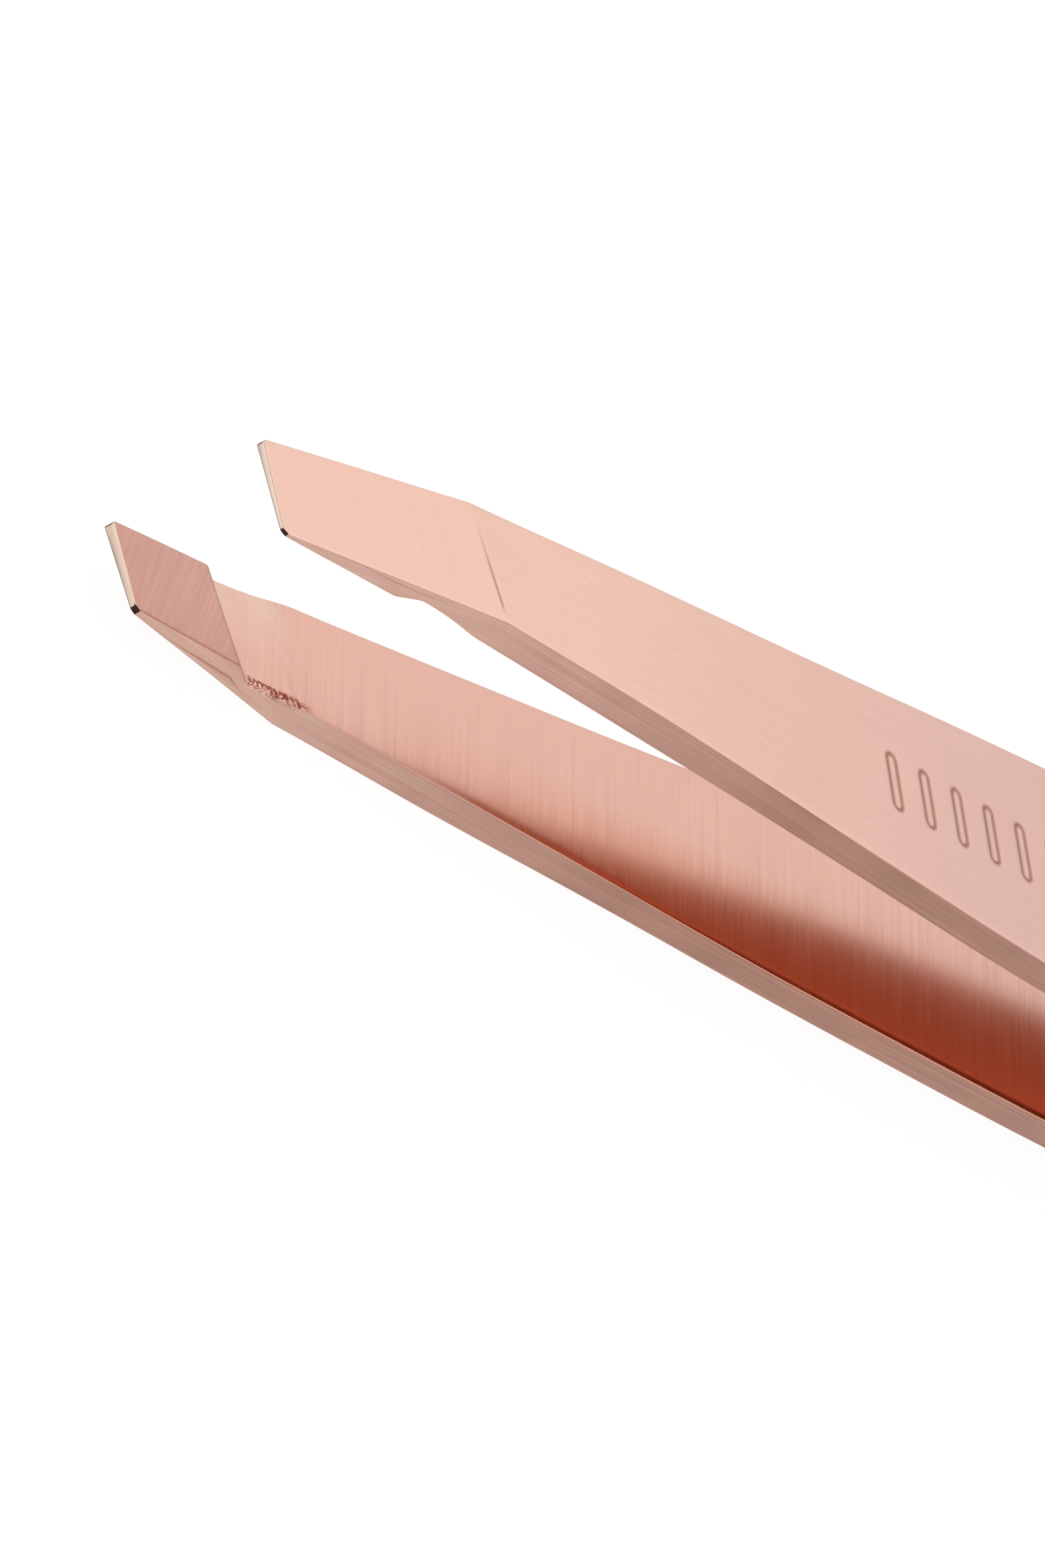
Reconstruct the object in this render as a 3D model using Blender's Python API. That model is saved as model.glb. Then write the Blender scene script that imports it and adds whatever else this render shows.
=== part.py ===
"""Slant tweezers: two stamped steel arms, spot-welded face to face at the butt.

The arms are mirror images above and below a middle plane. Each springs from the weld, bows
outwards and runs forward to a tip that is ground to a slant. Sizes here are millimetres; s is
the distance from the leading tip corner towards the butt, y runs across the arm, and h is the
height above the middle plane. MM turns them into metres when a mesh is made.

Each arm bends elastically just ahead of the weld. As one hinge per arm stands for that flexure,
the strip is divided there into a moving arm and a fixed tang.
"""

import math

import bmesh
import bpy
from mathutils import Vector

MM = 0.001

# Overall
LENGTH = 95.0
FLEXURE = 72.0  # where each arm turns about its tang
FLEXURE_GAP = 0.15  # clearance between an arm and its tang
SEAM = 0.1  # between the two tangs
WELD_FRONT = 84.0  # the tangs lie flat on each other from here to the butt
BUTT_CORNER = 2.3  # radius of the rounded corners at the butt

# Outlines, as (s, value) points on a smooth curve
FRONT_WIDTHS = ((0, 1.26), (8, 1.68), (19, 2.44), (34, 3.58), (45, 4.06))
HALF_WIDTH = (*FRONT_WIDTHS, (58, 4.3), (72, 4.05), (86, 3.5), (95, 3.25))
FRONT_GAPS = ((0, 3.94), (13, 3.68), (26, 3.45), (34, 3.2), (45, 2.98))
HALF_GAP = (*FRONT_GAPS, (56, 2.6), (66, 1.9), (75, 0.92), (80, 0.34), (84, 0.05))
THICKNESS = ((0, 1.45), (8, 1.5), (14, 1.6), (26, 1.44), (45, 1.5), (95, 1.5))

# The ground tip
SLANT = math.tan(math.radians(26.8))  # of the tip edge
GRIND_SLANT = math.tan(math.radians(30.0))  # of the pad's rear edge and the facet line
SLANT_FADES = (9.0, 24.0)  # the stations turn square to the arm between these
TIP_HALF_GAP = 3.43  # the tips stand this far from the middle plane
PAD_REAR_HALF_GAP = 3.52
PAD_STEP = 0.85  # length of the ramp behind the pad
RECESS_HALF_GAP = 4.13  # floor of the milled hollow behind the pad, where it is deepest
RECESS_REAR = 8.15

# Each arm is finished by hand, so the two differ a little
TIP_THICKNESS = {"upper": 0.25, "lower": 0.36}
PAD_LENGTH = {"upper": 4.15, "lower": 3.95}
FACET_LENGTH = {"upper": 7.2, "lower": 6.7}

# Softened edges of the strip
OUTER_CHAMFER = 0.08
INNER_CHAMFER = 0.06
TIP_CHAMFER = 0.03

# Spot welds
WELD_PLACES = {"front_spot_weld": 86.8, "rear_spot_weld": 91.2}
WELD_RADIUS = 1.4
WELD_HALF_HEIGHT = 0.3
WELD_CLEARANCE = 0.08

ROSE_GOLD = (0.86, 0.52, 0.40, 1.0)
WELD_STEEL = (0.45, 0.44, 0.43, 1.0)

SIDES = {"upper": 1, "lower": -1}


def smooth_curve(points):
    """A function through the points, smooth and with no overshoot between them."""
    xs = [p[0] for p in points]
    ys = [p[1] for p in points]
    steps = [xs[i + 1] - xs[i] for i in range(len(xs) - 1)]
    rises = [(ys[i + 1] - ys[i]) / steps[i] for i in range(len(steps))]
    slopes = [rises[0]]
    for before, after in zip(rises, rises[1:]):
        level = before * after <= 0
        slopes.append(0.0 if level else 2 * before * after / (before + after))
    slopes.append(0.0)

    def value(x):
        x = min(max(x, xs[0]), xs[-1])
        i = max(k for k in range(len(steps)) if xs[k] <= x)
        t = (x - xs[i]) / steps[i]
        start = ys[i] + t * steps[i] * slopes[i] * (1 - t) ** 2
        bend = (ys[i + 1] - ys[i]) * t * t * (3 - 2 * t)
        return start + bend + steps[i] * slopes[i + 1] * t * t * (t - 1)

    return value


half_width_at = smooth_curve(HALF_WIDTH)
half_gap_at = smooth_curve(HALF_GAP)
thickness_at = smooth_curve(THICKNESS)


def between(x, low, high):
    """0 below low, 1 above high, and a smooth step between."""
    t = min(max((x - low) / (high - low), 0.0), 1.0)
    return t * t * (3 - 2 * t)


def mix(a, b, t):
    return a + (b - a) * t


TIP_STATION = SLANT * HALF_WIDTH[0][1]  # the tip edge where it crosses the arm's centre line


def slant_at(q):
    """How far a station at q on the centre line leans back for each millimetre across."""
    lean = mix(SLANT, GRIND_SLANT, between(q, TIP_STATION, TIP_STATION + 4))
    return lean * (1 - between(q, *SLANT_FADES))


def inner_height(q, arm):
    """Height of the inner face over the middle plane: the pad, its ramp, the hollow, the arm."""
    pad_rear = TIP_STATION + PAD_LENGTH[arm]
    step_base = pad_rear + PAD_STEP
    pad = mix(TIP_HALF_GAP, PAD_REAR_HALF_GAP, (q - TIP_STATION) / PAD_LENGTH[arm])
    along = min(max((q - step_base) / (RECESS_REAR - step_base), 0.0), 1.0)
    arm_face = half_gap_at(q)
    hollow = mix(RECESS_HALF_GAP, arm_face, along**2)
    return mix(pad, hollow, between(q, pad_rear, step_base))


def outer_height(q, arm):
    """Height of the outer face: the ground facet up to its line, then the strip's own thickness."""
    facet_line = TIP_STATION + FACET_LENGTH[arm]
    at_line = half_gap_at(facet_line) + thickness_at(facet_line)
    if q < facet_line:
        tip = TIP_HALF_GAP + TIP_THICKNESS[arm]
        return mix(tip, at_line, (q - TIP_STATION) / FACET_LENGTH[arm])
    return half_gap_at(q) + thickness_at(q)


def cross_point(q, across):
    """The (s, y) of a point at the given share of the half width, on the slanted station q."""
    lean = slant_at(q)
    y = across * half_width_at(q)
    for _ in range(12):
        y = across * half_width_at(q - lean * y)
    return q - lean * y, y


def ring(q, arm):
    """The eight corners of the strip's chamfered section at station q, as (s, y, h)."""
    inner = inner_height(q, arm)
    outer = outer_height(q, arm)
    grown = between(q, TIP_STATION, TIP_STATION + 9)
    top_cut = mix(TIP_CHAMFER, OUTER_CHAMFER, grown)
    low_cut = mix(TIP_CHAMFER, INNER_CHAMFER, grown)
    width = half_width_at(q)
    corners = []
    section = (
        (1 - top_cut / width, outer),
        (1, outer - top_cut),
        (1, inner + low_cut),
        (1 - low_cut / width, inner),
    )
    for side in (1, -1):
        points = [(*cross_point(q, side * across), height) for across, height in section]
        corners += points if side == 1 else reversed(points)
    return corners


def tang_half_width(s):
    """The tang's outline, with its two corners rounded at the butt."""
    width = half_width_at(s)
    into_corner = s - (LENGTH - BUTT_CORNER)
    if into_corner <= 0:
        return width
    return width - BUTT_CORNER + math.sqrt(max(BUTT_CORNER**2 - into_corner**2, 0.0))


def tang_ring(s):
    """The eight corners of the tang's section, as (s, y, h)."""
    inner = max(half_gap_at(s), SEAM / 2)
    outer = inner + thickness_at(s)
    width = tang_half_width(s)
    half = (
        (width - OUTER_CHAMFER, outer),
        (width, outer - OUTER_CHAMFER),
        (width, inner + INNER_CHAMFER),
        (width - INNER_CHAMFER, inner),
    )
    right = [(s, y, h) for y, h in half]
    left = [(s, -y, h) for y, h in reversed(half)]
    return right + left


def arm_stations(arm):
    """Where the arm's sections stand: on every ground edge, then closely enough for the bow."""
    pad_rear = TIP_STATION + PAD_LENGTH[arm]
    facet_line = TIP_STATION + FACET_LENGTH[arm]
    step_base = pad_rear + PAD_STEP
    edges = [TIP_STATION, pad_rear, step_base, facet_line, RECESS_REAR]
    ramp = [mix(pad_rear, step_base, share) for share in (0.2, 0.4, 0.6, 0.8)]
    hollow = [mix(step_base, RECESS_REAR, share) for share in (0.25, 0.5, 0.75)]
    slope = [TIP_STATION + PAD_LENGTH[arm] * share for share in (0.25, 0.5, 0.75)]
    end = FLEXURE - FLEXURE_GAP / 2
    count = 40
    bow = [mix(RECESS_REAR + 1, end, i / count) for i in range(count + 1)]
    return sorted(edges + ramp + hollow + slope + bow)


def tang_stations():
    start = FLEXURE + FLEXURE_GAP / 2
    count = 10
    bend = [mix(start, WELD_FRONT, i / count) for i in range(count + 1)]
    turns = [LENGTH - BUTT_CORNER + BUTT_CORNER * math.sin(math.radians(a)) for a in range(0, 91, 10)]
    return bend + turns


MIDDLE = max(outer_height(q, arm) for arm in SIDES for q in arm_stations(arm))  # the lower arm rests at zero


def place(s, y, h, side):
    """A point of the tweezers in metres: X from the middle of the length, Z up from the surface."""
    return Vector((s - LENGTH / 2, y, MIDDLE + side * h)) * MM


def pivot(side):
    """The flexure's axis, in the middle of the strip's thickness."""
    return place(FLEXURE, 0, half_gap_at(FLEXURE) + thickness_at(FLEXURE) / 2, side)


def loft(name, rings, side, origin, material):
    """A closed solid over a row of sections. Its origin is on the flexure's axis or at the weld."""
    mesh = bpy.data.meshes.new(name)
    form = bmesh.new()
    rows = [[form.verts.new(place(*corner, side) - origin) for corner in corners] for corners in rings]
    for before, after in zip(rows, rows[1:]):
        for i in range(len(before)):
            j = (i + 1) % len(before)
            form.faces.new((before[i], before[j], after[j], after[i]))
    form.faces.new(reversed(rows[0]))
    form.faces.new(rows[-1])
    bmesh.ops.recalc_face_normals(form, faces=form.faces)
    form.to_mesh(mesh)
    form.free()
    mesh.materials.append(material)
    piece = bpy.data.objects.new(name, mesh)
    piece.location = origin
    bpy.context.scene.collection.objects.link(piece)
    return piece


def lens(name, s, radius, half_height, material):
    """A flattened ball on the middle plane, as a spot weld leaves it."""
    mesh = bpy.data.meshes.new(name)
    form = bmesh.new()
    bmesh.ops.create_uvsphere(form, u_segments=24, v_segments=10, radius=radius * MM)
    bmesh.ops.scale(form, vec=(1, 1, half_height / radius), verts=form.verts)
    form.to_mesh(mesh)
    form.free()
    mesh.shade_smooth()
    mesh.materials.append(material)
    ball = bpy.data.objects.new(name, mesh)
    ball.location = place(s, 0, 0, 1)
    bpy.context.scene.collection.objects.link(ball)
    return ball


def metal(name, color, roughness):
    material = bpy.data.materials.new(name)
    material.use_nodes = True
    shader = material.node_tree.nodes["Principled BSDF"]
    shader.inputs["Base Color"].default_value = color
    shader.inputs["Roughness"].default_value = roughness
    shader.inputs["Metallic"].default_value = 1.0
    return material


def cut_pocket(tang, cutter):
    """Hollows the tang's mating face where a weld nugget sits."""
    hollow = tang.modifiers.new(cutter.name, "BOOLEAN")
    hollow.operation = "DIFFERENCE"
    hollow.solver = "EXACT"
    hollow.object = cutter


def clear_scene():
    for old in list(bpy.data.objects):
        bpy.data.objects.remove(old)


def build():
    clear_scene()
    plate = metal("rose_gold_plate", ROSE_GOLD, 0.3)
    tang_plate = metal("rose_gold_tang", ROSE_GOLD, 0.34)
    nugget = metal("weld_steel", WELD_STEEL, 0.5)
    cutters = []
    for name, s in WELD_PLACES.items():
        lens(name, s, WELD_RADIUS, WELD_HALF_HEIGHT, nugget)
        roomy = (WELD_RADIUS + WELD_CLEARANCE, WELD_HALF_HEIGHT + WELD_CLEARANCE)
        cutter = lens(name + "_pocket", s, *roomy, nugget)
        cutter.hide_render = True
        cutter.display_type = "WIRE"
        cutters.append(cutter)
    for arm, side in SIDES.items():
        hinge = pivot(side)
        loft(arm + "_arm", [ring(q, arm) for q in arm_stations(arm)], side, hinge, plate)
        tang = loft(arm + "_tang", [tang_ring(s) for s in tang_stations()], side, hinge, tang_plate)
        for cutter in cutters:
            cut_pocket(tang, cutter)


build()
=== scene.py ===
"""The looks of the slant tweezers: rose-gold plated arms, brushed, ground and stamped.

Each arm is one mesh from its slanted tip to the butt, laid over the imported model. Sizes are
millimetres until place() turns them into metres. s is the distance from the leading tip corner
towards the butt, y runs across the arm and h is the height above the middle plane, taken the
same way in both arms. A station q is a line across the arm, named by where it crosses the
centre line. It leans as the tip does and turns square to the arm further back.
"""

import math

import bpy
import numpy as np
from mathutils import Matrix, Vector


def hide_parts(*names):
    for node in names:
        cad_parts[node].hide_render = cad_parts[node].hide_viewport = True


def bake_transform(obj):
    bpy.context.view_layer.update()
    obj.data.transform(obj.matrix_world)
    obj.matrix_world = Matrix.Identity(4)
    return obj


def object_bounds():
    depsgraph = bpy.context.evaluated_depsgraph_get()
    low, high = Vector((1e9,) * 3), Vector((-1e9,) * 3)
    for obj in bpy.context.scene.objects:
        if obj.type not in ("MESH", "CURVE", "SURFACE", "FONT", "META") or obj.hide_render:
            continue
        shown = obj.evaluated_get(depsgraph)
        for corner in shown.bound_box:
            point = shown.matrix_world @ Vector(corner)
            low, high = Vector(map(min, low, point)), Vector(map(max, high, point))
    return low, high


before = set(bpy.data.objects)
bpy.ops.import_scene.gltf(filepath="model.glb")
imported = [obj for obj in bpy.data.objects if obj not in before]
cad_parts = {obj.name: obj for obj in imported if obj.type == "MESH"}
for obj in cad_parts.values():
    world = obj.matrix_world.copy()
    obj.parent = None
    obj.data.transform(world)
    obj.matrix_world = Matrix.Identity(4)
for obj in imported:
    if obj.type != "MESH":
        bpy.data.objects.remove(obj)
cad_low, cad_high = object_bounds()

MM = 0.001
LENGTH = (cad_high.x - cad_low.x) / MM
MIDDLE = (cad_high.z + cad_low.z) / 2 / MM
SIDES = {"upper": 1, "lower": -1}

# Outlines, as in the CAD, as (s, value) points on a smooth curve
FRONT_WIDTHS = ((0, 1.26), (8, 1.68), (19, 2.44), (34, 3.58), (45, 4.06))
HALF_WIDTH = (*FRONT_WIDTHS, (58, 4.3), (72, 4.05), (86, 3.5), (95, 3.25))
FRONT_GAPS = ((0, 3.94), (13, 3.68), (26, 3.45), (34, 3.2), (45, 2.98))
HALF_GAP = (*FRONT_GAPS, (56, 2.6), (66, 1.9), (75, 0.92), (80, 0.34), (84, 0.05))
THICKNESS = ((0, 1.45), (8, 1.5), (14, 1.6), (26, 1.44), (45, 1.5), (95, 1.5))
WELD_FRONT = 84.0  # the arms lie flat on each other from here to the butt
BUTT_CORNER = 2.3  # radius of the rounded corners at the butt
TIP_SLANT = math.radians(26.8)
SLANT = math.tan(TIP_SLANT)
GRIND_SLANT = math.tan(math.radians(30.0))  # of the pad's rear edge and the facet line
GRIND_RUN = 4.0  # the slant changes from the first to the second over this length
SLANT_FADES = (9.0, 24.0)  # the stations turn square to the arm between these
TIP_HALF_GAP = 3.43  # the tips stand this far from the middle plane
TIP_THICKNESS = {"upper": 0.25, "lower": 0.36}
TIP_TWIST = 0.07  # the tip is thicker at its leading corner, by this much per mm across
PAD_LENGTH = {"upper": 4.15, "lower": 3.95}
PAD_REAR_HALF_GAP = 3.52
PAD_STEP = 0.85  # length of the ramp behind the pad
FACET_LENGTH = {"upper": 7.2, "lower": 6.7}
RECESS_HALF_GAP = 4.13  # floor of the milled hollow behind the pad, where it is deepest
RECESS_TILT = 0.05  # per mm across
RECESS_REAR = 8.27  # where the hollow ends, at its furthest
RECESS_FURTHEST = 0.5  # y of that place
RECESS_BOW = 0.13  # the hollow's rear edge draws forward by this times the square of the distance
RECESS_REACH = 1.8  # and no further outside this half width
CUTTER_ROUNDING = 0.04 * np.arange(-4, 5)  # shares of the hollow's length that soften its rear edge

# Fine shape
TIP_CORNER = 0.09  # plan radius of the leading tip corner
TIP_NICK = (0.12, 0.13)  # the other corner is nicked: across the tip and along the side
TIP_ROUNDING = 0.05
GROUND_EDGE = 0.025  # edge radius where the tip is ground
OUTER_EDGE = 0.03  # and on the strip behind it
OUTER_EDGE_CHANGE = (-0.6, 0.1)  # from the facet line: the one turns into the other between these
INNER_EDGE = 0.02
ROLL_WIDTH = 0.3  # the inner face rolls off beside its edges
ROLL_DEPTH = 0.04
ROLL_GROWS = (9, 34)  # from nothing to its full depth
FAR_TRIM = {"upper": 0.0, "lower": 0.07}  # the lower arm's far side is dressed narrower
FAR_TRIM_FULL = 10.0  # from here on
BUTT_EDGE = 0.2  # edge radius at the butt
BUTT_EDGE_DROP = 0.8  # share of it that the height follows
BOSS_START = 2.0  # the pad's own sides are ground in from the strip's, more towards its rear
BOSS_CUT = {"upper": 0.008, "lower": 0.011}  # per mm
BOSS_FADE = 0.2  # behind the pad's rear edge the cut starts to fade
LEDGE_STATION = 3.0  # below the pad's sides a ledge shows, at this height and slope
LEDGE_HALF_GAP = 4.1
LEDGE_SLOPE = 0.09
LEDGE_DROP = 0.03
LEDGE_FADES = (6, 9)
LEDGE_SHARE = 0.6  # it lies at least this far up the side
LEDGE_CUT = 0.03  # the cut at which the ledge's line of painted shade is full
LEDGE_SHADE = 0.7  # and how dark that painted shade is at most
FACET_LINE_WIDTH = 0.09
FACET_LINE_DEPTH = 0.02
# painted shade in the facet line's groove, at most this dark
FACET_LINE_SHADE = 0.75
FACET_LINE_FADE = -0.4  # towards the far edge it fades from this share of the half width
FACET_LINE_ENDS = (0.45, 0.15, 0.2)  # full and ended beside the near edge, ended at the far edge
BURR_HEIGHT = 0.03
BURR_WAVES = ((12.7, 5.0, 0.0), (19.1, -9.0, 1.1))  # its lumps: radians per mm of q and y, phase
BURR_RUN = (-0.3, 0, 0.5, 2.6)  # from the ramp's foot: where it starts, is full, fades and ends
BURR_WIDTH = (0.08, 0.34)  # it fades between these distances from the near edge
BURR_RISE = (0.05, 0.15)  # and between these heights above the inner face
PAD_LINE = (0.92, 0.99)  # shares of the pad's half width where painted shade darkens its near edge
PAD_LINE_SHADE = 0.5
PAD_LINE_FADE = 0.3  # the painted shade fades out over this length behind the pad
PAD_FINISH = 0.6  # share of the ramp that is filed like the pad
HOLLOW_FADE = 0.8  # the hollow's finish fades out over this length

# Stamped row on the upper arm
STAMP_START = 25.8
STAMP_PITCH = 1.55
STAMP_COUNT = 15
STAMP_HALF_LENGTH = 1.05
STAMP_HALF_WIDTH = 0.34
STAMP_LEAN = 0.3
STAMP_DEPTH = 0.04
STAMP_WALL = 0.28  # width of its sloping walls

# Looks
ROSE_GOLD = (0.855, 0.55, 0.45)
PINK_GOLD = (0.79, 0.50, 0.435)
TIP_SIDE_METAL = (1.0, 0.53, 0.425)
SIDE_METAL = (0.57, 0.30, 0.224)
INNER_METAL = (0.77, 0.452, 0.366)
# painted reflection of the other arm on the inner faces' near side
RED_REFLECTION = (0.755, 0.33, 0.205)
# painted highlight on the hollow's far side
HOLLOW_HIGHLIGHT = (0.79, 0.56, 0.455)
PAD_METAL = (0.655, 0.365, 0.30)
TIP_METAL = (0.95, 0.72, 0.6)
# painted shade: the nick at the tip corner is coloured almost black
NICK_SHADE = (0.06, 0.035, 0.03)
WELD_METAL = (0.45, 0.44, 0.43)
# painted shade: the colour that darkens the facet line, the stamped strokes' walls, the ledge line,
# the pad's near edge and the burr's pits
PAINTED_SHADE_COLOUR = (0.42, 0.21, 0.155)
SCORED_ROUGHNESS = 0.35  # what a fully scored place adds
RED_REFLECTION_ACROSS = (-2.6, 0.2)  # the painted red reflection is full and gone at these y
RED_REFLECTION_ALONG = (11, 22)  # and none and full at these s
HOLLOW_HIGHLIGHT_ACROSS = (-0.6, 1.8)  # the painted highlight's blotches are none and full at these y
OUTER_DRIFT = (14, 34)  # rose gold turns pinker between these s
SIDE_DRIFT = (6, 22)
ARC_CENTRE = (5.4, -2.6, 0.0)
ARCS_PER_MM = 2.2
ARC_RELIEF = 0.0025
TORN_RELIEF = 0.08

# Each material's finish: its marks' turn in degrees, their fine and wide noise scales per mm
# along s, y and depth, the roughness, the relief in mm and the contrast of the marks
FINISHES = {
    "outer_brushed": (0, (0.22, 16, 16), (0.07, 4.5, 4.5), 0.24, 0.0015, 0.045),
    "facet_ground": (-30, (12, 0.2, 0), (3.5, 0.1, 0), 0.22, 0.001, 0.025),
    "side_sheared": (0, (0.12, 0.0, 14), (0.06, 0.0, 7), 0.3, 0.006, 0.24),
    "inner_brushed": (-5.8, (8, 0.22, 0), (2.8, 0.1, 0), 0.2, 0.0028, 0.045),
    "pad_filed": (14, (12, 0.3, 0), (4.5, 0.15, 0), 0.33, 0.003, 0.12),
    "tip_polished": (0, (3, 3, 3), (1, 1, 1), 0.15, 0.0004, 0.02),
    "tip_nick": (0, (9, 9, 9), (3, 3, 3), 0.45, 0.004, 0.2),
    "weld_bare": (0, (6, 6, 6), (2, 2, 2), 0.5, 0.004, 0.1),
}


def smooth_curve(points):
    """A function through the points, for arrays, smooth and with no overshoot between them."""
    xs, ys = np.array(points, float).T
    steps = np.diff(xs)
    rises = np.diff(ys) / steps
    product = rises[:-1] * rises[1:]
    total = np.where(product > 0, rises[:-1] + rises[1:], 1.0)
    inner = np.where(product > 0, 2 * product / total, 0.0)
    slopes = np.concatenate([rises[:1], inner, [0.0]])

    def value(x):
        x = np.clip(x, xs[0], xs[-1])
        i = np.clip(np.searchsorted(xs, x, side="right") - 1, 0, len(steps) - 1)
        t = (x - xs[i]) / steps[i]
        start = ys[i] + t * steps[i] * slopes[i] * (1 - t) ** 2
        bend = (ys[i + 1] - ys[i]) * t * t * (3 - 2 * t)
        return start + bend + steps[i] * slopes[i + 1] * t * t * (t - 1)

    return value


half_gap_at = smooth_curve(HALF_GAP)
thickness_at = smooth_curve(THICKNESS)
plain_half_width_at = smooth_curve(HALF_WIDTH)


def half_width_at(s):
    """The outline, with its two corners rounded at the butt."""
    into_corner = np.clip(s - (LENGTH - BUTT_CORNER), 0, BUTT_CORNER)
    rounded = BUTT_CORNER - np.sqrt(BUTT_CORNER**2 - into_corner**2)
    return plain_half_width_at(s) - rounded


def between(x, low, high):
    """0 below low, 1 above high, and a smooth step between."""
    t = np.clip((x - low) / (high - low), 0, 1)
    return t * t * (3 - 2 * t)


def mix(a, b, t):
    """a where t is 0, b where t is 1."""
    return a + (b - a) * t


TIP_STATION = SLANT * HALF_WIDTH[0][1]


def pad_rear_station(arm):
    """The station of the pad's rear edge, where the ramp starts."""
    return TIP_STATION + PAD_LENGTH[arm]


def step_base_station(arm):
    """The station of the ramp's foot, where the hollow is deepest."""
    return pad_rear_station(arm) + PAD_STEP


def slant_at(q):
    """How much a station leans: s falls by this much per mm across."""
    lean = mix(SLANT, GRIND_SLANT, between(q, TIP_STATION, TIP_STATION + GRIND_RUN))
    return lean * (1 - between(q, *SLANT_FADES))


def rounding(distance, radius):
    """How far a rounded edge draws in, at a distance from its end."""
    depth = np.clip(radius - distance, 0, radius)
    return radius - np.sqrt(radius**2 - depth**2)


def tip_distance(q):
    """How far a station is from the tip's edge."""
    return (q - TIP_STATION) * math.cos(TIP_SLANT)


def recess_rear(y):
    """Where the hollow ends: a shallow arc across the arm."""
    from_furthest = np.clip(y, -RECESS_REACH, RECESS_REACH) - RECESS_FURTHEST
    return RECESS_REAR - RECESS_BOW * from_furthest**2


def burr(q, y, arm):
    """Where the cutter tore the metal, along the lower hollow's near edge: 0 to 1."""
    start, full, fading, end = (step_base_station(arm) + place for place in BURR_RUN)
    inside = half_width_at(q - slant_at(q) * y) + y
    along = between(q, start, full) * (1 - between(q, fading, end))
    return along * (1 - between(inside, *BURR_WIDTH)) * (arm == "lower")


def burr_lumps(q, y):
    """The torn metal's lumps, from -1 to 1."""
    lumps = 1.0
    for per_q, per_y, phase in BURR_WAVES:
        lumps = lumps * np.sin(per_q * q + per_y * y + phase)
    return lumps


def inner_height(q, y, arm):
    """Height of the inner face: the pad, the ramp behind it, the scooped hollow, the arm."""
    pad_rear = pad_rear_station(arm)
    base = step_base_station(arm)
    pad = mix(TIP_HALF_GAP, PAD_REAR_HALF_GAP, (q - TIP_STATION) / PAD_LENGTH[arm])
    rear = recess_rear(y)
    along = (q - base) / (rear - base)
    scooped = np.mean([1 - np.clip(along + shift, 0, 1) ** 2 for shift in CUTTER_ROUNDING], axis=0)
    face = half_gap_at(q)
    floor = RECESS_HALF_GAP + RECESS_TILT * y
    scoop = face + (floor - face) * scooped
    torn = BURR_HEIGHT * burr(q, y, arm) * burr_lumps(q, y)
    return mix(pad, scoop, between(q, pad_rear, base)) - torn


def facet_station(arm):
    """The station of the facet line."""
    return TIP_STATION + FACET_LENGTH[arm]


def outer_height(q, y, arm):
    """Height of the outer face: the ground facet up to its line, then the strip's thickness."""
    line = facet_station(arm)
    at_line = half_gap_at(line) + thickness_at(line)
    share = (q - TIP_STATION) / FACET_LENGTH[arm]
    tip = TIP_HALF_GAP + TIP_THICKNESS[arm] + TIP_TWIST * y
    return np.where(q < line, mix(tip, at_line, share), half_gap_at(q) + thickness_at(q))


def facet_line_depth(q, y, arm):
    """The scored line where the grinding stopped. It dies out short of both edges."""
    beside = np.abs(q - facet_station(arm)) / FACET_LINE_WIDTH
    edge = half_width_at(q)
    near_full, near_end, far_end = FACET_LINE_ENDS
    near = between(y, near_end - edge, near_full - edge)
    far = 1 - between(y, FACET_LINE_FADE * edge, edge - far_end)
    return FACET_LINE_DEPTH * (1 - between(beside, 0, 1)) * (far * near)


def stamp_depth(s, y):
    """How deep the stamped row of slanted strokes presses into the outer face."""
    deepest = np.zeros_like(s)
    for i in range(STAMP_COUNT):
        centre = STAMP_START + i * STAMP_PITCH
        beside = np.abs(s - centre + STAMP_LEAN * y)
        beyond = np.clip(np.abs(y) - (STAMP_HALF_LENGTH - STAMP_HALF_WIDTH), 0, None)
        inside = STAMP_HALF_WIDTH - np.hypot(beside, beyond)
        deepest = np.maximum(deepest, STAMP_DEPTH * between(inside, 0, STAMP_WALL))
    return deepest


def far_corner_cut(q):
    """What the rounded leading corner takes off the far side."""
    corner = math.pi / 2 - TIP_SLANT
    tangent = TIP_CORNER / math.tan(corner / 2)
    distance = np.clip(tip_distance(q), 0, tangent * math.sin(corner))
    arc = tangent - np.sqrt(TIP_CORNER**2 - (TIP_CORNER - distance) ** 2)
    return (arc - distance / math.tan(corner)) * math.cos(TIP_SLANT)


def near_corner_cut(q):
    """What the nick takes off the near side."""
    across, along = TIP_NICK
    return across * np.clip(1 - tip_distance(q) / along, 0, 1)


SETTLING_ROUNDS = 12


def cross_point(q, across, inset, arm):
    """(s, y) of a point on station q, at a share of the width that is left inside the inset.

    The width depends on s and s on y, so y is worked out again until it settles.
    """
    lean = slant_at(q)
    trim = FAR_TRIM[arm] * between(q, pad_rear_station(arm), FAR_TRIM_FULL)
    far_cut = far_corner_cut(q) + trim
    near_cut = near_corner_cut(q)
    y = across * half_width_at(q)
    for _ in range(SETTLING_ROUNDS):
        width = half_width_at(q - lean * y) - inset
        y = mix(near_cut - width, width - far_cut, (across + 1) / 2)
    return q - lean * y, y


def boss_cut(q, side, arm):
    """How far the pad's own side stands in from the strip's side."""
    s = q - slant_at(q) * side * half_width_at(q)
    inset = BOSS_CUT[arm] * np.clip(s - BOSS_START, 0, None)
    fading = between(q, pad_rear_station(arm) + BOSS_FADE, step_base_station(arm))
    return inset * (1 - fading)


TIP_RUN = 0.3  # the stations are closest over this length
STAMPED_RUN = (24.0, 50.0)  # and close on the upper arm here
LAST_STATION = 0.02  # this far from the butt's end


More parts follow.
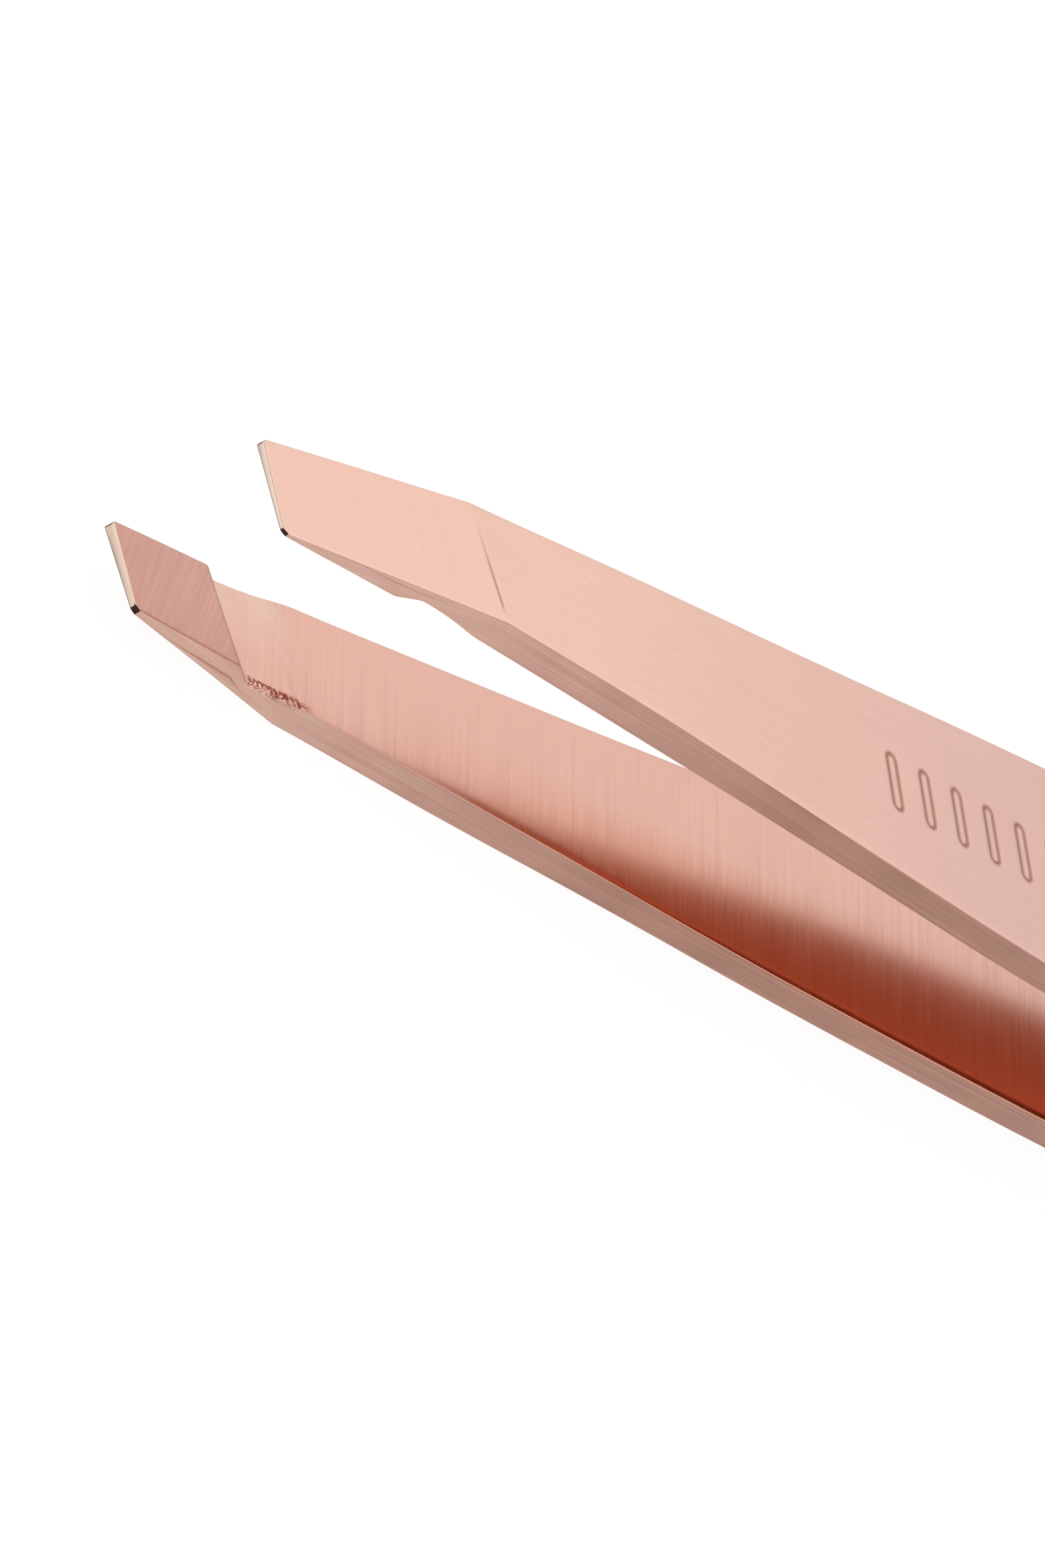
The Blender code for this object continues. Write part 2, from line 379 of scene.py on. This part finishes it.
def stations(arm):
    """Sections along the arm: closest at the tip and the stamped row, wider elsewhere."""
    line = facet_station(arm)
    tip_end = TIP_STATION + TIP_RUN
    pad_rear = pad_rear_station(arm)
    base = step_base_station(arm)
    scored = line + FACET_LINE_WIDTH * np.linspace(-1, 1, 9)
    corner = LENGTH - BUTT_CORNER
    runs = [
        np.linspace(TIP_STATION, tip_end, 25),
        np.linspace(tip_end, pad_rear, 50),
        np.linspace(pad_rear, base, 24),
        np.linspace(base, scored[0], 48),
        scored,
        np.linspace(scored[-1], STAMPED_RUN[0], 90),
        np.linspace(*STAMPED_RUN, 400 if arm == "upper" else 80),
        np.linspace(STAMPED_RUN[1], WELD_FRONT, 70),
        np.linspace(WELD_FRONT, corner, 24),
        corner + (BUTT_CORNER - LAST_STATION) * np.sin(np.radians(np.linspace(0, 90, 22))),
    ]
    return np.unique(np.round(np.concatenate(runs), 6))


# A section's columns: the steps round an edge, the share of a face that ends where its finer
# steps begin, and the places down the side's two parts
EDGE_STEPS = 4
EDGE_SHARE = 0.9
WALL_SHARES = (0.03, 0.35, 0.7, 0.94, 1)
BOSS_SHARES = (0, 0.07, 0.4, 0.7, 0.96, 1)


def face_shares(middle, middle_steps, outer_steps, edge_steps):
    """Places across a face: in its middle share, from there almost to the edges, and at them."""
    half = np.concatenate([
        np.linspace(0, middle, middle_steps),
        np.linspace(middle, EDGE_SHARE, outer_steps)[1:],
        np.linspace(EDGE_SHARE, 1, edge_steps)[1:],
    ])
    return np.concatenate([-half[:0:-1], half])


def section_columns(arm):
    """The columns of a section as (part, side, share), round the strip from the outer face."""
    turn = np.linspace(0, 1, EDGE_STEPS + 1)[1:]
    near = [("outer_edge", -1, t) for t in turn]
    near += [("wall", -1, t) for t in WALL_SHARES]
    near += [("boss", -1, t) for t in BOSS_SHARES]
    near += [("inner_edge", -1, t) for t in turn]
    far = [(part, 1, share) for part, _, share in near[::-1]]
    outer_steps = (20, 7, 2) if arm == "upper" else (6, 7, 2)
    inner_steps = (6, 8, 8) if arm == "upper" else (8, 12, 10)
    outer = [("outer", 0, t) for t in face_shares(0.35, *outer_steps)[::-1]]
    inner = [("inner", 0, t) for t in face_shares(0.4, *inner_steps)[1:-1]]
    return outer + near + inner + far


COLUMNS = {arm: section_columns(arm) for arm in SIDES}


def roll_off(q, y):
    """How far the inner face falls away beside its two edges."""
    behind_tip = between(q, *ROLL_GROWS)
    into_roll = np.clip(np.abs(y) - (half_width_at(q) - ROLL_WIDTH), 0, ROLL_WIDTH) / ROLL_WIDTH
    return ROLL_DEPTH * behind_tip * into_roll**2


def cut_at_face(q, share, arm):
    """The inset of the inner face: the pad's, near one side or the other."""
    return mix(boss_cut(q, -1, arm), boss_cut(q, 1, arm), (share + 1) / 2)


def ledge_height(q, top, bottom, outer_radius, inner_radius):
    """Height of the ledge under the pad's own side, from the heights of the side's two ends."""
    front = LEDGE_HALF_GAP + LEDGE_SLOPE * (q - LEDGE_STATION)
    ledge = mix(front, mix(top, bottom, LEDGE_SHARE), between(q, *LEDGE_FADES))
    low = bottom + inner_radius
    high = top - outer_radius
    ledge = np.clip(ledge, low + 2 * LEDGE_DROP, high - LEDGE_DROP)
    return np.maximum(ledge, mix(low, high, LEDGE_SHARE))


def arm_points(arm):
    """The arm's vertices as arrays (q, s, y, h), one row for each station, and its finish."""
    q = stations(arm)
    line = facet_station(arm)
    outer_radius = mix(GROUND_EDGE, OUTER_EDGE, between(q - line, *OUTER_EDGE_CHANGE))
    pad_rear = pad_rear_station(arm)
    behind_pad = between(q, pad_rear, step_base_station(arm))
    inner_radius = mix(GROUND_EDGE, INNER_EDGE, behind_pad)
    end = rounding(tip_distance(q), TIP_ROUNDING)
    butt = rounding(LENGTH - q, BUTT_EDGE) * BUTT_EDGE_DROP

    def top(y):
        return outer_height(q, y, arm) - end - butt

    def bottom(y):
        return inner_height(q, y, arm) + end

    s = np.empty((len(q), len(COLUMNS[arm])))
    y = np.empty_like(s)
    h = np.empty_like(s)
    # painted shade: how far each vertex is darkened towards the shade colour
    painted_shade = np.zeros_like(s)
    for j, (part, side, share) in enumerate(COLUMNS[arm]):
        cut = boss_cut(q, side, arm)
        edge_y = cross_point(q, side, 0, arm)[1]
        ledge = ledge_height(q, top(edge_y), bottom(edge_y), outer_radius, inner_radius)
        # painted shade along the ledge's crease, on the side's last row and the boss's first
        ledge_shade = np.clip(cut / LEDGE_CUT, 0, LEDGE_SHADE)
        turn = share * math.pi / 2
        if part == "outer":
            s[:, j], y[:, j] = cross_point(q, share, outer_radius, arm)
            scored = facet_line_depth(q, y[:, j], arm)
            stamped = stamp_depth(s[:, j], y[:, j]) * (arm == "upper")
            h[:, j] = top(y[:, j]) - scored - stamped
            # the stamped strokes' sloping walls get painted shade, darkest halfway down them
            wall = np.sin(np.pi * stamped / STAMP_DEPTH)
            painted_shade[:, j] = np.maximum(FACET_LINE_SHADE * scored / FACET_LINE_DEPTH, wall)
        elif part == "outer_edge":
            s[:, j], y[:, j] = cross_point(q, side, outer_radius * (1 - math.sin(turn)), arm)
            h[:, j] = top(y[:, j]) - outer_radius * (1 - math.cos(turn))
        elif part == "wall":
            s[:, j], y[:, j] = cross_point(q, side, 0, arm)
            h[:, j] = mix(top(edge_y) - outer_radius, ledge, share)
            painted_shade[:, j] = (share == 1) * ledge_shade
        elif part == "boss":
            s[:, j], y[:, j] = cross_point(q, side, cut, arm)
            edge_height = bottom(y[:, j]) + roll_off(q, y[:, j]) + inner_radius
            h[:, j] = mix(ledge - LEDGE_DROP, edge_height, share)
            painted_shade[:, j] = (share == 0) * ledge_shade
        elif part == "inner_edge":
            s[:, j], y[:, j] = cross_point(q, side, cut + inner_radius * (1 - math.cos(turn)), arm)
            h[:, j] = bottom(y[:, j]) + roll_off(q, y[:, j]) + inner_radius * (1 - math.sin(turn))
        else:
            edge = cut_at_face(q, share, arm) + inner_radius
            s[:, j], y[:, j] = cross_point(q, share, edge, arm)
            h[:, j] = bottom(y[:, j]) + roll_off(q, y[:, j])
            # painted shade along the pad's near edge
            on_pad = 1 - between(q, pad_rear, pad_rear + PAD_LINE_FADE)
            painted_shade[:, j] = PAD_LINE_SHADE * between(-share, *PAD_LINE) * on_pad
    return q, s, y, h, painted_shade


def place(s, y, h, side):
    """Points of the tweezers in metres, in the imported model's frame."""
    return np.stack([s - LENGTH / 2, y, MIDDLE + side * h], axis=-1) * MM


ZONES = ("outer", "facet", "side", "inner", "pad", "tip", "nick")
CREASE_ANGLE = math.radians(24)


def zone_of(part, side, q, arm):
    """The finish of a face, from its column's part and where it lies."""
    line = facet_station(arm)
    if part in ("outer", "outer_edge"):
        zone = np.where(q < line, ZONES.index("facet"), ZONES.index("outer"))
    elif part in ("inner", "inner_edge"):
        on_pad = q < pad_rear_station(arm) + PAD_STEP * PAD_FINISH
        zone = np.where(on_pad, ZONES.index("pad"), ZONES.index("inner"))
    else:
        zone = np.full(q.shape, ZONES.index("side"))
    zone = np.where(tip_distance(q) < TIP_ROUNDING, ZONES.index("tip"), zone)
    if side < 0:
        zone = np.where(tip_distance(q) < TIP_NICK[1], ZONES.index("nick"), zone)
    return zone


def tube_faces(rows, count, turned):
    """The faces of a tube of sections with count points each, closed at both ends."""
    i, j = np.meshgrid(np.arange(rows - 1), np.arange(count), indexing="ij")
    here = i * count + j
    beside = i * count + (j + 1) % count
    faces = np.stack([here, beside, beside + count, here + count], axis=-1)
    if turned:
        faces = faces[..., ::-1]
    front = list(range(count))
    back = [(rows - 1) * count + n for n in front]
    caps = [front, back[::-1]] if turned else [front[::-1], back]
    return faces.reshape(-1, 4).tolist() + caps


def build_arm(arm, materials):
    """One closed mesh for an arm and its tang."""
    q, s, y, h, painted_shade = arm_points(arm)
    rows, count = s.shape
    points = place(s, y, h, SIDES[arm]).reshape(-1, 3)
    mesh = bpy.data.meshes.new(arm + "_blade")
    mesh.from_pydata(points.tolist(), [], tube_faces(rows, count, SIDES[arm] > 0))
    middle_q = (q[:-1] + q[1:]) / 2
    zones = [zone_of(part, across, middle_q, arm) for part, across, _ in COLUMNS[arm]]
    caps = [ZONES.index("tip"), ZONES.index("side")]
    zones = np.append(np.stack(zones, axis=-1).ravel(), caps).astype(np.int32)
    mesh.polygons.foreach_set("material_index", zones)
    for zone in ZONES:
        mesh.materials.append(materials[zone])
    station = q[:, None]
    add_attribute(mesh, "strip", s, y, outer_height(station, y, arm) - h)
    hollow = between(recess_rear(y) - station, 0, HOLLOW_FADE)
    above_face = h - inner_height(station, y, arm)
    torn = burr(station, y, arm) * (1 - between(above_face, *BURR_RISE))
    # the hollow, the painted shade and the torn metal, for the materials
    add_attribute(mesh, "finish_and_shade", hollow, painted_shade, torn)
    mesh.shade_smooth()
    mesh.set_sharp_from_angle(angle=CREASE_ANGLE)
    mark_creases(mesh, q, count, arm)
    mesh.update()
    blade = bpy.data.objects.new(arm + "_blade", mesh)
    bpy.context.scene.collection.objects.link(blade)
    return blade


def add_attribute(mesh, name, *parts):
    """A vector of three parts at each vertex, for the materials."""
    attribute = mesh.attributes.new(name, "FLOAT_VECTOR", "POINT")
    attribute.data.foreach_set("vector", np.stack(parts, axis=-1).astype(np.float32).ravel())


def mark_creases(mesh, q, count, arm):
    """Keeps the facet line crisp, where the angle alone would be shaded smooth."""
    ends = np.empty(len(mesh.edges) * 2, np.int32)
    mesh.edges.foreach_get("vertices", ends)
    first, second = ends.reshape(-1, 2).T
    row, column = first // count, first % count
    part = np.array([name for name, _, _ in COLUMNS[arm]])[column]
    crease = (second // count == row) & np.isin(part, ("outer", "outer_edge"))
    crease &= np.isclose(q[row], facet_station(arm))
    if "sharp_edge" not in mesh.attributes:
        mesh.attributes.new("sharp_edge", "BOOLEAN", "EDGE")
    sharp = np.zeros(len(mesh.edges), bool)
    mesh.attributes["sharp_edge"].data.foreach_get("value", sharp)
    mesh.attributes["sharp_edge"].data.foreach_set("value", sharp | crease)


# ---------------------------------------------------------------- materials


class Nodes:
    """A short way to write a material's node tree.
    """

    def __init__(self, name):
        self.material = bpy.data.materials.new(name)
        self.material.use_nodes = True
        self.tree = self.material.node_tree
        self.shader = self.tree.nodes["Principled BSDF"]
        self.strip = self.add("ShaderNodeAttribute", attribute_name="strip").outputs["Vector"]
        finish_and_shade = self.add("ShaderNodeAttribute", attribute_name="finish_and_shade").outputs["Vector"]
        self.along, self.across, _ = self.split(self.strip)
        self.hollow, self.dark, self.burr = self.split(finish_and_shade)
        self.metal = None
        self.normal = None

    def split(self, vector):
        node = self.add("ShaderNodeSeparateXYZ")
        self.link(vector, node.inputs[0])
        return node.outputs

    def add(self, kind, **settings):
        node = self.tree.nodes.new(kind)
        for name, value in settings.items():
            setattr(node, name, value)
        return node

    def link(self, source, target):
        self.tree.links.new(source, target)

    def math(self, operation, a, b=None, c=None):
        node = self.add("ShaderNodeMath", operation=operation)
        for socket, value in zip(node.inputs, (a, b, c)):
            if value is None:
                continue
            if isinstance(value, (int, float)):
                socket.default_value = value
            else:
                self.link(value, socket)
        return node.outputs[0]

    def scaled(self, scale, turn=0.0):
        """The strip's coordinates, turned about h and then scaled."""
        turned = self.strip
        if turn:
            rotate = self.add("ShaderNodeVectorRotate", rotation_type="Z_AXIS")
            self.link(turned, rotate.inputs["Vector"])
            rotate.inputs["Angle"].default_value = math.radians(turn)
            turned = rotate.outputs["Vector"]
        node = self.add("ShaderNodeVectorMath", operation="MULTIPLY")
        self.link(turned, node.inputs[0])
        node.inputs[1].default_value = scale
        return node.outputs[0]

    def noise(self, scale, turn=0.0, detail=3.0, rough=0.55):
        node = self.add("ShaderNodeTexNoise")
        self.link(self.scaled(scale, turn), node.inputs["Vector"])
        node.inputs["Scale"].default_value = 1.0
        node.inputs["Detail"].default_value = detail
        node.inputs["Roughness"].default_value = rough
        return node.outputs["Fac"]

    def ramp(self, value, low, high, start=0.3, end=0.7):
        node = self.add("ShaderNodeMapRange", clamp=True)
        self.link(value, node.inputs["Value"])
        node.inputs["From Min"].default_value = start
        node.inputs["From Max"].default_value = end
        node.inputs["To Min"].default_value = low
        node.inputs["To Max"].default_value = high
        return node.outputs["Result"]

    def colour(self, value, first, second):
        """A mix of two colours, each a constant or another node's output."""
        node = self.add("ShaderNodeMix", data_type="RGBA")
        self.link(value, node.inputs["Factor"])
        for socket, source in zip((node.inputs[6], node.inputs[7]), (first, second)):
            if isinstance(source, tuple):
                socket.default_value = (*source, 1)
            else:
                self.link(source, socket)
        return node.outputs[2]

    def bump(self, height, relief):
        """Adds a height to the surface, with a relief of so many mm for each unit of it."""
        node = self.add("ShaderNodeBump")
        self.link(height, node.inputs["Height"])
        node.inputs["Distance"].default_value = relief * MM
        node.inputs["Strength"].default_value = 1.0
        if self.normal:
            self.link(self.normal, node.inputs["Normal"])
        self.normal = node.outputs["Normal"]

    def finish_and_shade(self):
        # paints the shade colour in where the dark part of the attribute asks for it
        self.link(self.colour(self.dark, self.metal, PAINTED_SHADE_COLOUR), self.shader.inputs["Base Color"])
        self.link(self.normal, self.shader.inputs["Normal"])
        return self.material


def tint(colour, factor):
    """The colour made lighter or darker."""
    return tuple(min(c * factor, 1.0) for c in colour)


def plated(name, base, drift=None):
    """Plated steel with grinding or brushing marks and worn clouds, rougher where it is scored.

    drift has a second colour and the range of s over which it takes over from the first.
    """
    turn, fine_scale, wide_scale, roughness, relief, contrast = FINISHES[name]
    n = Nodes(name)
    fine = n.noise(fine_scale, turn)
    wide = n.noise(wide_scale, turn)
    cloud = n.noise((0.35, 0.35, 0.35), detail=2.0)
    marks = n.math("ADD", n.math("MULTIPLY", fine, 0.6), n.math("MULTIPLY", wide, 0.4))
    tone = n.math("ADD", n.math("MULTIPLY", marks, 0.75), n.math("MULTIPLY", cloud, 0.25))
    light = n.ramp(tone, 0.0, 1.0)
    n.metal = n.colour(light, tint(base, 1 - contrast), tint(base, 1 + contrast))
    if drift:
        other, places = drift
        second = n.colour(light, tint(other, 1 - contrast), tint(other, 1 + contrast))
        n.metal = n.colour(n.ramp(n.along, 0.0, 1.0, *places), n.metal, second)
    rough = n.ramp(marks, roughness * 1.2, roughness * 0.8)
    n.link(n.math("MULTIPLY_ADD", n.dark, SCORED_ROUGHNESS, rough), n.shader.inputs["Roughness"])
    n.bump(marks, relief)
    n.shader.inputs["Metallic"].default_value = 1.0
    return n


def paint_red_reflection(n):
    """Paints the other arm's red reflection onto the inner faces' near side, behind the tips."""
    across = n.ramp(n.across, 1.0, 0.0, *RED_REFLECTION_ACROSS)
    near = n.math("MULTIPLY", across, n.ramp(n.along, 0.0, 1.0, *RED_REFLECTION_ALONG))
    n.metal = n.colour(near, n.metal, RED_REFLECTION)


def paint_hollow_highlight(n):
    """Paints a highlight on the hollow's far side, broken into soft blotches of random tone."""
    blotches = n.ramp(n.noise((1.3, 1.3, 0), detail=2.0), 0.45, 1.0, 0.35, 0.65)
    far = n.math("MULTIPLY", n.hollow, n.ramp(n.across, 0.0, 1.0, *HOLLOW_HIGHLIGHT_ACROSS))
    n.metal = n.colour(n.math("MULTIPLY", far, blotches), n.metal, HOLLOW_HIGHLIGHT)


def torn_edge(n):
    """Adds the torn, pitted metal of the burr, with painted shade in its pits."""
    pits = n.noise((2.6, 2.6, 2.6), rough=0.6)
    pit_shade = n.ramp(pits, 1.0, 0.0, 0.44, 0.54)
    n.dark = n.math("MAXIMUM", n.dark, n.math("MULTIPLY", pit_shade, n.burr))
    n.bump(n.math("MULTIPLY", pits, n.burr), TORN_RELIEF)


def milled_arcs(n):
    """Adds the end mill's faint arcs to the hollow behind the pad."""
    from_centre = n.add("ShaderNodeVectorMath", operation="SUBTRACT")
    n.link(n.strip, from_centre.inputs[0])
    from_centre.inputs[1].default_value = ARC_CENTRE
    distance = n.add("ShaderNodeVectorMath", operation="LENGTH")
    n.link(from_centre.outputs[0], distance.inputs[0])
    wobble = n.math("MULTIPLY", n.noise((1.1, 1.1, 0), detail=1.0), 3)
    phase = n.math("MULTIPLY_ADD", distance.outputs["Value"], ARCS_PER_MM * math.tau, wobble)
    n.bump(n.math("MULTIPLY", n.math("SINE", phase), n.hollow), ARC_RELIEF)


def make_materials():
    """A material for each zone."""
    looks = {
        "outer": plated("outer_brushed", ROSE_GOLD, (PINK_GOLD, OUTER_DRIFT)),
        "facet": plated("facet_ground", ROSE_GOLD),
        "side": plated("side_sheared", TIP_SIDE_METAL, (SIDE_METAL, SIDE_DRIFT)),
        "inner": plated("inner_brushed", INNER_METAL),
        "pad": plated("pad_filed", PAD_METAL),
        "tip": plated("tip_polished", TIP_METAL),
        "nick": plated("tip_nick", NICK_SHADE),
    }
    paint_hollow_highlight(looks["inner"])
    paint_red_reflection(looks["inner"])
    for zone in ("inner", "side", "pad"):
        torn_edge(looks[zone])
    milled_arcs(looks["inner"])
    return {zone: n.finish_and_shade() for zone, n in looks.items()}


# ---------------------------------------------------------------- studio


STUDIO_AMBIENT = 0.08
# Each softbox: the way to it, the angles where it is full and where it ends, and its light
STUDIO_LOBES = (
    ((0.1, 0.35, 0.93), 30, 68, (0.96, 0.96, 0.96)),
    ((0.45, -0.55, -0.7), 20, 65, (0.62, 0.62, 0.62)),
    ((0.37, 0.56, -0.78), 8, 32, (0.33, 0.1, 0.02)),
    ((-0.93, -0.25, -0.25), 15, 65, (0.85, 0.85, 0.85)),
    ((0.35, -0.75, 0.5), 20, 60, (0.77, 0.7, 0.705)),
    ((-0.65, 0.76, 0.0), 15, 48, (0.5, 0.5, 0.5)),
    ((1.0, -0.15, 0.1), 15, 40, (0.5, 0.5, 0.5)),
    ((0.7, 0.72, 0.0), 12, 32, (0.6, 0.6, 0.6)),
)


def make_world():
    """A soft studio dome: the ambient and the softboxes of STUDIO_LOBES, added together."""
    world = bpy.data.worlds.new("studio")
    bpy.context.scene.world = world
    world.use_nodes = True
    tree = world.node_tree
    direction = tree.nodes.new("ShaderNodeTexCoord").outputs["Generated"]
    total = tree.nodes.new("ShaderNodeCombineXYZ").outputs[0]
    for socket in total.node.inputs:
        socket.default_value = STUDIO_AMBIENT
    for towards, inner, outer, light in STUDIO_LOBES:
        dot = tree.nodes.new("ShaderNodeVectorMath")
        dot.operation = "DOT_PRODUCT"
        tree.links.new(direction, dot.inputs[0])
        dot.inputs[1].default_value = Vector(towards).normalized()
        spread = tree.nodes.new("ShaderNodeMapRange")
        spread.interpolation_type = "SMOOTHSTEP"
        tree.links.new(dot.outputs["Value"], spread.inputs["Value"])
        spread.inputs["From Min"].default_value = math.cos(math.radians(outer))
        spread.inputs["From Max"].default_value = math.cos(math.radians(inner))
        add = tree.nodes.new("ShaderNodeVectorMath")
        add.operation = "MULTIPLY_ADD"
        tree.links.new(spread.outputs["Result"], add.inputs[0])
        add.inputs[1].default_value = light
        tree.links.new(total, add.inputs[2])
        total = add.outputs[0]
    tree.links.new(total, tree.nodes["Background"].inputs["Color"])


def pale(name, strength, white):
    """A plain pale surface that gives light of its own."""
    material = bpy.data.materials.new(name)
    material.use_nodes = True
    shader = material.node_tree.nodes["Principled BSDF"]
    shader.inputs["Base Color"].default_value = (white, white, white, 1)
    shader.inputs["Roughness"].default_value = 1.0
    shader.inputs["Specular IOR Level"].default_value = 0.0
    shader.inputs["Emission Color"].default_value = (1, 1, 1, 1)
    shader.inputs["Emission Strength"].default_value = strength
    return material


FLOOR_SIZE = 6
FLOOR_DROP = 0.0002  # the floor lies this far below the tweezers
DOME_RADIUS = 4


def make_stage():
    """A plain pale floor, and a pale dome far behind it so that no horizon shows."""
    bpy.ops.mesh.primitive_plane_add(size=FLOOR_SIZE, location=(0, 0, -FLOOR_DROP))
    floor = bpy.context.object
    floor.name = "floor"
    floor.data.materials.append(pale("pale_floor", 0.93, 0.12))
    bpy.ops.mesh.primitive_uv_sphere_add(segments=64, ring_count=32, radius=DOME_RADIUS)
    dome = bpy.context.object
    dome.name = "backdrop"
    dome.data.materials.append(pale("pale_backdrop", 1.0, 0.0))
    for piece in (floor, dome):
        piece.visible_glossy = False
    dome.visible_diffuse = False
    dome.visible_shadow = False


CAMERA_TARGET = Vector((-33.16, -3.16, 5.29)) * MM
CAMERA_DISTANCE = 174.8 * MM
CAMERA_AZIMUTH = math.radians(-50.41)
CAMERA_ELEVATION = math.radians(42.55)
CAMERA_ROLL = math.radians(65.63)
CAMERA_LENS = 128.35
CAMERA_SENSOR = 36


def make_camera():
    """The photograph's viewing angle: from above the near edge of the tips, rolled to one side."""
    back = Vector((
        math.sin(CAMERA_AZIMUTH) * math.cos(CAMERA_ELEVATION),
        -math.cos(CAMERA_AZIMUTH) * math.cos(CAMERA_ELEVATION),
        math.sin(CAMERA_ELEVATION),
    ))
    level_right = (-back).cross(Vector((0, 0, 1))).normalized()
    level_up = level_right.cross(-back)
    right = level_right * math.cos(CAMERA_ROLL) + level_up * math.sin(CAMERA_ROLL)
    up = back.cross(right)
    data = bpy.data.cameras.new("camera")
    data.lens = CAMERA_LENS
    data.sensor_width = CAMERA_SENSOR
    data.clip_start = 0.01
    camera = bpy.data.objects.new("camera", data)
    turn = Matrix((right, up, back)).transposed()
    camera.matrix_world = Matrix.Translation(CAMERA_TARGET + back * CAMERA_DISTANCE) @ turn.to_4x4()
    bpy.context.scene.collection.objects.link(camera)
    bpy.context.scene.camera = camera


def dress_welds():
    """The hidden nuggets between the tangs."""
    bare = plated("weld_bare", WELD_METAL).finish_and_shade()
    for name in ("front_spot_weld", "rear_spot_weld"):
        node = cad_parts[name]
        node.data.materials.clear()
        node.data.materials.append(bare)


def main():
    bpy.context.scene.view_settings.view_transform = "Standard"
    make_camera()
    make_world()
    make_stage()
    dress_welds()
    materials = make_materials()
    for arm in SIDES:
        blade = build_arm(arm, materials)
        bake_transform(blade)
        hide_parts(arm + "_arm", arm + "_tang")


main()
